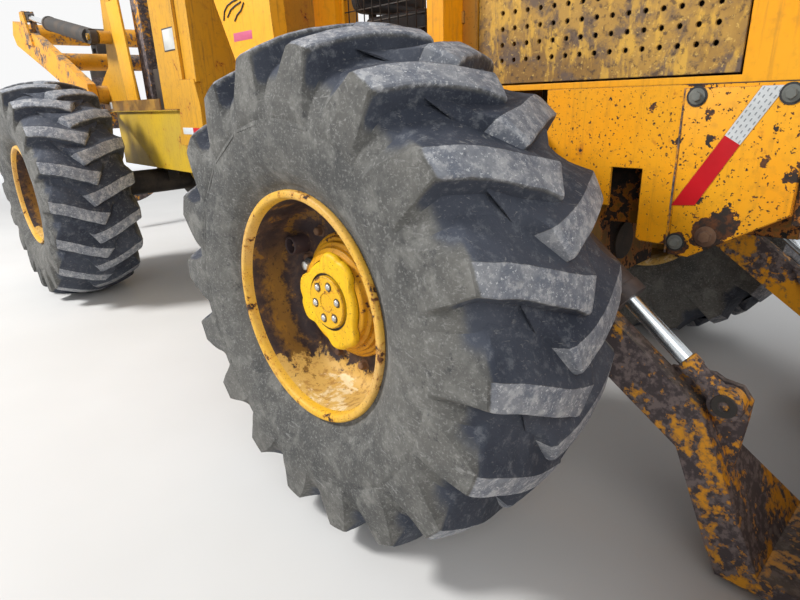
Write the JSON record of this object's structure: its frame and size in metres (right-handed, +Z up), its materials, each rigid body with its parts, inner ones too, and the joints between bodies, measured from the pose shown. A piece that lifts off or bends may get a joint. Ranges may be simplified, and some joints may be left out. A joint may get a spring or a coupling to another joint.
{
  "type": "articulated grapple skidder",
  "caption": "Articulated log skidder: front frame with hood, cab and blade, rear frame with tower, boom and grapple, on large lugged tyres.",
  "frame": {"origin": "on the ground, mid length and mid width of the whole machine", "axes": "+X forward (blade end), +Y to the machine's left, +Z up"},
  "size_m": [7.25, 2.799, 2.95],
  "materials": {
    "orange_paint": "weathered orange-yellow paint, chipped, with rust",
    "hub_paint": "faded lemon-yellow paint over rust",
    "dark_steel": "bare dark steel with grease and peeling paint",
    "cast_iron": "oily cast iron with dust",
    "chrome_rod": "polished chrome, lightly scratched",
    "tyre_rubber": "worn rubber with pale dust",
    "seat_cover": "black seat cover, worn"
  },
  "bodies": {
    "front": {"front_frame": "orange_paint", "frame_brackets": "orange_paint", "front_axle": "cast_iron", "engine_block": "cast_iron", "hood": "orange_paint", "side_panels": "orange_paint", "grille": "cast_iron", "exhaust": "dark_steel", "air_cleaner": "dark_steel", "cab_frame": "orange_paint", "cab_roof": "orange_paint", "cab_guards": "orange_paint", "seat": "seat_cover", "console": "dark_steel", "rear_legs": "orange_paint"},
    "door_right": {"engine_door_right": "orange_paint"},
    "door_left": {"engine_door_left": "orange_paint"},
    "blade": {"blade": "orange_paint"},
    "blade_barrels": {"blade_barrels": "dark_steel"},
    "blade_rods": {"blade_rods": "chrome_rod"},
    "steer_barrel_right": {"steer_barrel_right": "dark_steel"},
    "steer_barrel_left": {"steer_barrel_left": "dark_steel"},
    "steer_rod_right": {"steer_rod_right": "chrome_rod"},
    "steer_rod_left": {"steer_rod_left": "chrome_rod"},
    "rear": {"rear_frame": "orange_paint", "rear_axle": "cast_iron", "tower": "orange_paint"},
    "boom": {"boom": "orange_paint"},
    "boom_barrels": {"boom_barrels": "dark_steel"},
    "boom_rods": {"boom_rods": "chrome_rod"},
    "boom_link": {"boom_link": "dark_steel"},
    "grapple_swivel": {"grapple_swivel": "dark_steel"},
    "grapple_head": {"grapple_head": "dark_steel"},
    "tong_right": {"tong_right": "orange_paint"},
    "tong_left": {"tong_left": "orange_paint"},
    "tong_barrel": {"tong_barrel": "dark_steel"},
    "tong_rod": {"tong_rod": "chrome_rod"},
    "wheel_front_right": {"tyre_front_right": "tyre_rubber", "wheel_front_right": "hub_paint"},
    "wheel_front_left": {"tyre_front_left": "tyre_rubber", "wheel_front_left": "hub_paint"},
    "wheel_rear_right": {"tyre_rear_right": "tyre_rubber", "wheel_rear_right": "hub_paint"},
    "wheel_rear_left": {"tyre_rear_left": "tyre_rubber", "wheel_rear_left": "hub_paint"}
  },
  "joints": [
    {"name": "wheel_front_right_spin", "type": "hinge", "parent": "front", "child": "wheel_front_right", "pos_m": [2.125, -1.106, 0.775], "axis": [0, 1, 0], "continuous": true},
    {"name": "wheel_front_left_spin", "type": "hinge", "parent": "front", "child": "wheel_front_left", "pos_m": [2.125, 1.106, 0.775], "axis": [0, 1, 0], "continuous": true},
    {"name": "wheel_rear_right_spin", "type": "hinge", "parent": "rear", "child": "wheel_rear_right", "pos_m": [-1.375, -1.106, 0.775], "axis": [0, 1, 0], "continuous": true},
    {"name": "wheel_rear_left_spin", "type": "hinge", "parent": "rear", "child": "wheel_rear_left", "pos_m": [-1.375, 1.106, 0.775], "axis": [0, 1, 0], "continuous": true},
    {"name": "articulation", "type": "hinge", "parent": "front", "child": "rear", "pos_m": [0.375, 0, 0.85], "axis": [0, 0, 1], "range_deg": [-40, 40]},
    {"name": "steer_barrel_right_turn", "type": "hinge", "parent": "front", "child": "steer_barrel_right", "pos_m": [1.275, -0.46, 0.85], "axis": [0, 0, 1], "range_deg": [-9.6, 9.6]},
    {"name": "steer_rod_right_slide", "type": "slide", "parent": "steer_barrel_right", "child": "steer_rod_right", "axis": [-0.9994, 0.0333, 0], "range_m": [-0.297, 0.297]},
    {"name": "steer_barrel_left_turn", "type": "hinge", "parent": "front", "child": "steer_barrel_left", "pos_m": [1.275, 0.46, 0.85], "axis": [0, 0, 1], "range_deg": [-9.6, 9.6]},
    {"name": "steer_rod_left_slide", "type": "slide", "parent": "steer_barrel_left", "child": "steer_rod_left", "axis": [-0.9994, -0.0333, 0], "range_m": [-0.297, 0.297]},
    {"name": "blade_lift", "type": "hinge", "parent": "front", "child": "blade", "pos_m": [2.425, 0, 0.85], "axis": [0, -1, 0], "range_deg": [0, 26]},
    {"name": "blade_barrels_turn", "type": "hinge", "parent": "front", "child": "blade_barrels", "pos_m": [2.245, 0, 1.205], "axis": [0, -1, 0], "range_deg": [0, 17.6]},
    {"name": "blade_rods_slide", "type": "slide", "parent": "blade_barrels", "child": "blade_rods", "axis": [0.7896, 0, -0.6137], "range_m": [-0.0968, 0]},
    {"name": "boom_lift", "type": "hinge", "parent": "rear", "child": "boom", "pos_m": [-1.625, 0, 1.45], "axis": [0, 1, 0], "range_deg": [-9, 25]},
    {"name": "boom_barrels_turn", "type": "hinge", "parent": "rear", "child": "boom_barrels", "pos_m": [-1.315, 0, 1.84], "axis": [0, 1, 0], "range_deg": [-8.2, 22.5]},
    {"name": "boom_rods_slide", "type": "slide", "parent": "boom_barrels", "child": "boom_rods", "axis": [-0.9829, 0, 0.1839], "range_m": [-0.2025, 0.0735]},
    {"name": "link_swing", "type": "hinge", "parent": "boom", "child": "boom_link", "pos_m": [-3.475, 0, 2.06], "axis": [0, 1, 0], "range_deg": [-25, 25]},
    {"name": "grapple_tilt", "type": "hinge", "parent": "boom_link", "child": "grapple_swivel", "pos_m": [-3.475, 0, 1.87], "axis": [1, 0, 0], "range_deg": [-20, 20]},
    {"name": "grapple_turn", "type": "hinge", "parent": "grapple_swivel", "child": "grapple_head", "pos_m": [-3.475, 0, 1.66], "axis": [0, 0, 1], "continuous": true},
    {"name": "tong_left_open", "type": "hinge", "parent": "grapple_head", "child": "tong_left", "pos_m": [-3.475, 0.24, 1.21], "axis": [1, 0, 0], "range_deg": [0, 42]},
    {"name": "tong_right_open", "type": "hinge", "parent": "grapple_head", "child": "tong_right", "pos_m": [-3.475, -0.24, 1.21], "axis": [1, 0, 0], "range_deg": [-42, 0]},
    {"name": "tong_barrel_turn", "type": "hinge", "parent": "tong_left", "child": "tong_barrel", "pos_m": [-3.475, 0.37, 1.36], "axis": [1, 0, 0], "range_deg": [-42, 0]},
    {"name": "tong_rod_slide", "type": "slide", "parent": "tong_barrel", "child": "tong_rod", "axis": [0, -1, 0], "range_m": [-0.2612, 0]},
    {"name": "engine_door_right_open", "type": "hinge", "parent": "front", "child": "door_right", "pos_m": [2.125, -0.46, 1.933], "axis": [-1, 0, 0], "range_deg": [0, 85]},
    {"name": "engine_door_left_open", "type": "hinge", "parent": "front", "child": "door_left", "pos_m": [2.125, 0.46, 1.933], "axis": [1, 0, 0], "range_deg": [0, 85]}
  ],
  "couplings": [
    {"joint": "steer_barrel_right_turn", "follows": "articulation", "ratio": 0.2382},
    {"joint": "steer_rod_right_slide", "follows": "articulation", "m_per_rad": -0.4236},
    {"joint": "steer_barrel_left_turn", "follows": "articulation", "ratio": 0.2382},
    {"joint": "steer_rod_left_slide", "follows": "articulation", "m_per_rad": 0.4236},
    {"joint": "blade_barrels_turn", "follows": "blade_lift", "ratio": 0.6719},
    {"joint": "blade_rods_slide", "follows": "blade_lift", "m_per_rad": -0.2128},
    {"joint": "boom_barrels_turn", "follows": "boom_lift", "ratio": 0.8956},
    {"joint": "boom_rods_slide", "follows": "boom_lift", "m_per_rad": -0.462},
    {"joint": "tong_right_open", "follows": "tong_left_open", "ratio": -1},
    {"joint": "tong_barrel_turn", "follows": "tong_left_open", "ratio": -1},
    {"joint": "tong_rod_slide", "follows": "tong_left_open", "m_per_rad": -0.356}
  ]
}
